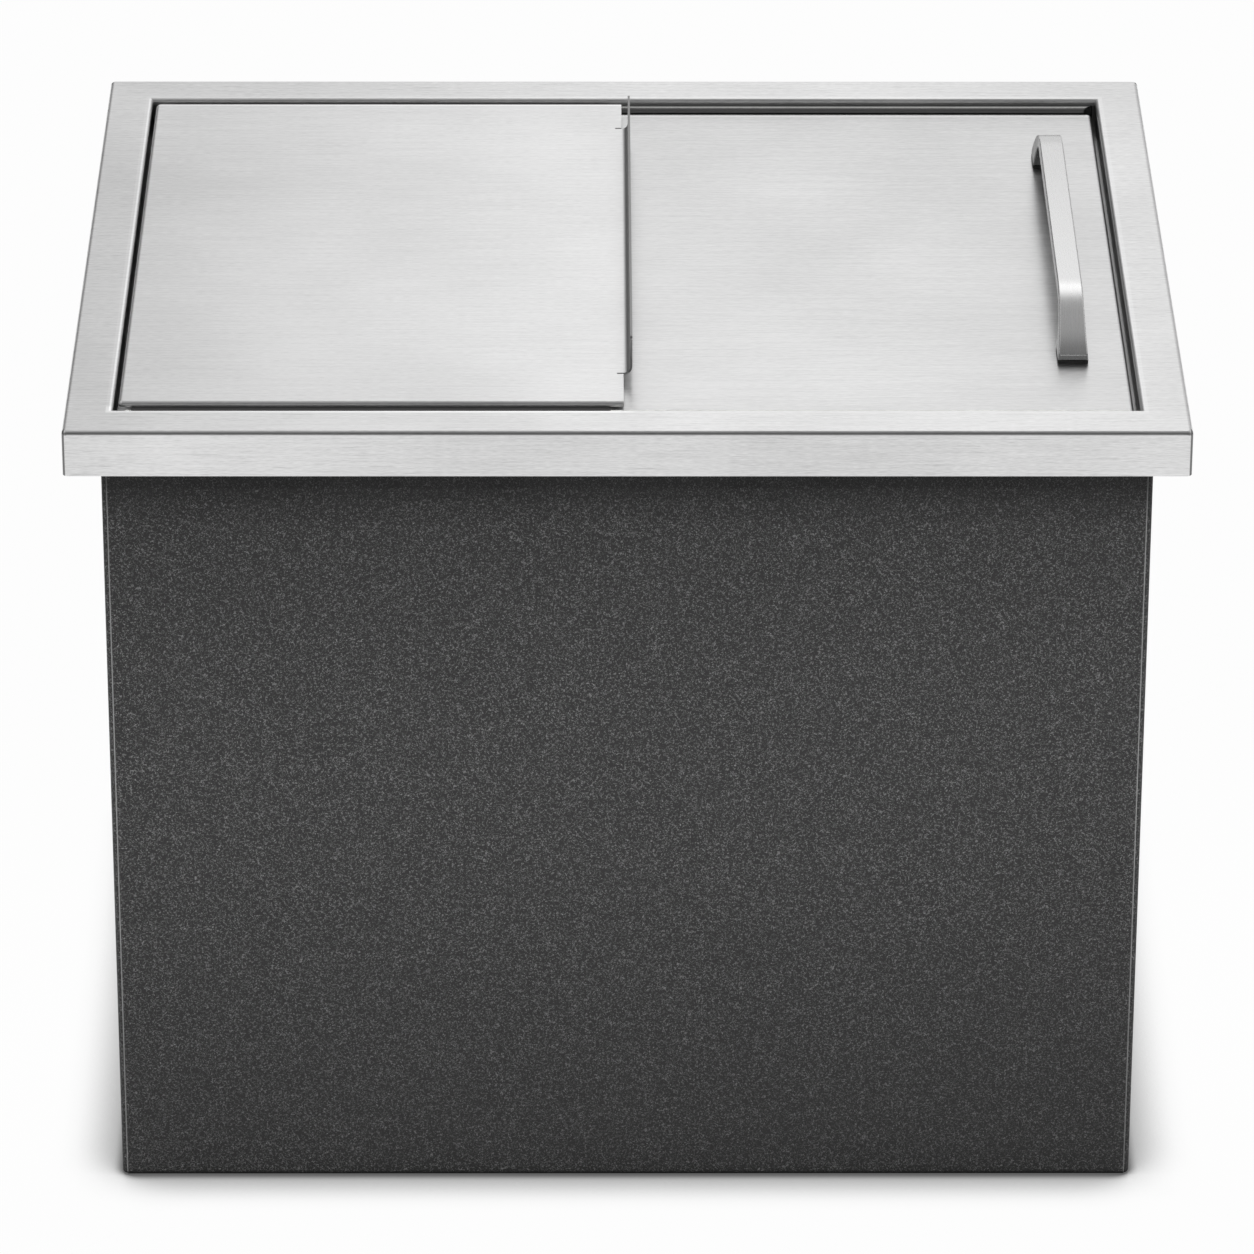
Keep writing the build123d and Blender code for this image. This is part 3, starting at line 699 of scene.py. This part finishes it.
def white_floor(paper_grey, own_white):
    """A pale floor, whose share of its own white fades in two steps close to what stands on it."""
    finish = bpy.data.materials.new("studio_floor")
    finish.use_nodes = True
    nodes = finish.node_tree.nodes
    nodes.remove(nodes["Principled BSDF"])
    paper = nodes.new("ShaderNodeBsdfDiffuse")
    paper.inputs["Color"].default_value = grey(paper_grey)
    openness = []
    for reach in (36.0 * mm, 7.0 * mm):
        shut_out = nodes.new("ShaderNodeAmbientOcclusion")
        shut_out.inputs["Distance"].default_value = reach
        shut_out.samples = 16
        openness.append(shut_out.outputs["AO"])
    wide = ease(finish, openness[0], 0.48, 0.97, 0.42, 1.0)
    close = ease(finish, openness[1], 0.45, 0.95, 0.30, 1.0)
    white = nodes.new("ShaderNodeEmission")
    feed(finish, times(finish, wide, close), white.inputs["Strength"])
    _, looked_at = seeing_rays(finish)
    share = nodes.new("ShaderNodeMixShader")
    feed(finish, times(finish, looked_at, own_white), share.inputs[0])
    finish.node_tree.links.new(paper.outputs[0], share.inputs[1])
    finish.node_tree.links.new(white.outputs[0], share.inputs[2])
    finish.node_tree.links.new(share.outputs[0], nodes["Material Output"].inputs["Surface"])
    return finish


sweep = bmesh.new()
bmesh.ops.create_grid(sweep, x_segments=1, y_segments=1, size=14.0)
floor_mesh = bpy.data.meshes.new("floor")
sweep.to_mesh(floor_mesh)
sweep.free()
floor = bpy.data.objects.new("floor", floor_mesh)
bpy.context.scene.collection.objects.link(floor)
floor_mesh.materials.append(white_floor(paper_grey=0.25, own_white=0.98))
print("floor:", floor.dimensions.x, "m wide")

# %% The world
world = bpy.data.worlds.new("studio")
bpy.context.scene.world = world
world.use_nodes = True
tent = world.node_tree
fill = tent.nodes["Background"]
fill.inputs["Color"].default_value = grey(1.0)
fill.inputs["Strength"].default_value = 0.38
backdrop = tent.nodes.new("ShaderNodeBackground")
apart = tent.nodes.new("ShaderNodeSeparateXYZ")
feed(world, tent.nodes.new("ShaderNodeTexCoord").outputs["Generated"], apart.inputs[0])
across, away, up = apart.outputs
ceiling = ease(world, up, 0.70, 0.86, 0.0, 0.46)
room = times(world, ease(world, away, 0.10, -0.55, 0.0, 0.77), ease(world, up, 0.08, 0.26))
left_side = ease(world, across, -0.22, 0.10, 0.09, 0.0)
left_dark = ease(world, across, -0.10, -0.28, 0.0, 0.90)
left_corner = times(world, left_dark, ease(world, up, 0.50, 0.28))
right_dark = ease(world, across, 0.22, 0.38, 0.0, 0.80)
right_corner = times(world, right_dark, ease(world, up, 0.34, 0.14))
dimmed = ceiling
for shade in (room, left_side, left_corner, right_corner):
    dimmed = larger(world, dimmed, shade)
mirrored, looked_at = seeing_rays(world)
shown = reckon(world, "SUBTRACT", 1.0, times(world, dimmed, mirrored))
feed(world, shown, backdrop.inputs["Strength"])
choice = tent.nodes.new("ShaderNodeMixShader")
feed(world, looked_at, choice.inputs[0])
tent.links.new(fill.outputs[0], choice.inputs[1])
tent.links.new(backdrop.outputs[0], choice.inputs[2])
tent.links.new(choice.outputs[0], tent.nodes["World Output"].inputs["Surface"])
print("fill:", fill.inputs["Strength"].default_value)

# %% [markdown]
# ## Lamps
#
# The key is three strip lights, one above the other, that all look at the middle of the casing.
# Their grids keep the beams narrow, so the paint is lightest at half height, and together they
# are tall enough to give the rim's shadow a soft edge. They light what has a colour and are kept
# out of the metal's mirror. Two panels behind the bin are there to be mirrored: a weak one lifts
# the lids' middle, and a stronger, higher one puts the bright band on the handle's bends.

# %% The lamps
def soft_panel(name, place, aim, width, height, power, spread, mirrored):
    """An area lamp that looks at a point, spreads its light by an angle, and is mirrored or not."""
    lamp_data = bpy.data.lights.new(name, "AREA")
    lamp_data.shape = "RECTANGLE"
    lamp_data.size = width
    lamp_data.size_y = height
    lamp_data.energy = power
    lamp_data.spread = math.radians(spread)
    lamp = bpy.data.objects.new(name, lamp_data)
    bpy.context.scene.collection.objects.link(lamp)
    lamp.location = place
    lamp.rotation_euler = (Vector(aim) - Vector(place)).to_track_quat("-Z", "Y").to_euler()
    lamp.visible_camera = False
    lamp.visible_glossy = mirrored
    return lamp


target = Vector((0.0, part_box("front_panel")[0].y, 0.23))
key_distance, key_shift = 2.4, 0.03
lids_middle = (0.0, 0.0, 0.39)
for climb in (42, 52, 62):
    slope = math.radians(climb)
    spot = target + key_distance * Vector((key_shift, -math.cos(slope), math.sin(slope)))
    soft_panel("key_strip_" + str(climb), spot, target, 1.3, 0.18, 0.48, 8.0, False)
mirror = soft_panel("mirror_panel", (0.08, 1.6, 1.45), lids_middle, 0.7, 0.7, 0.72, 180.0, True)
crest = soft_panel("crest_panel", (0.25, 1.4, 2.0), lids_middle, 0.7, 0.7, 1.4, 180.0, True)
print("mirrored panels:", mirror.data.energy, crest.data.energy, "W")

# %% Finish
bpy.context.scene.view_settings.view_transform = "Standard"
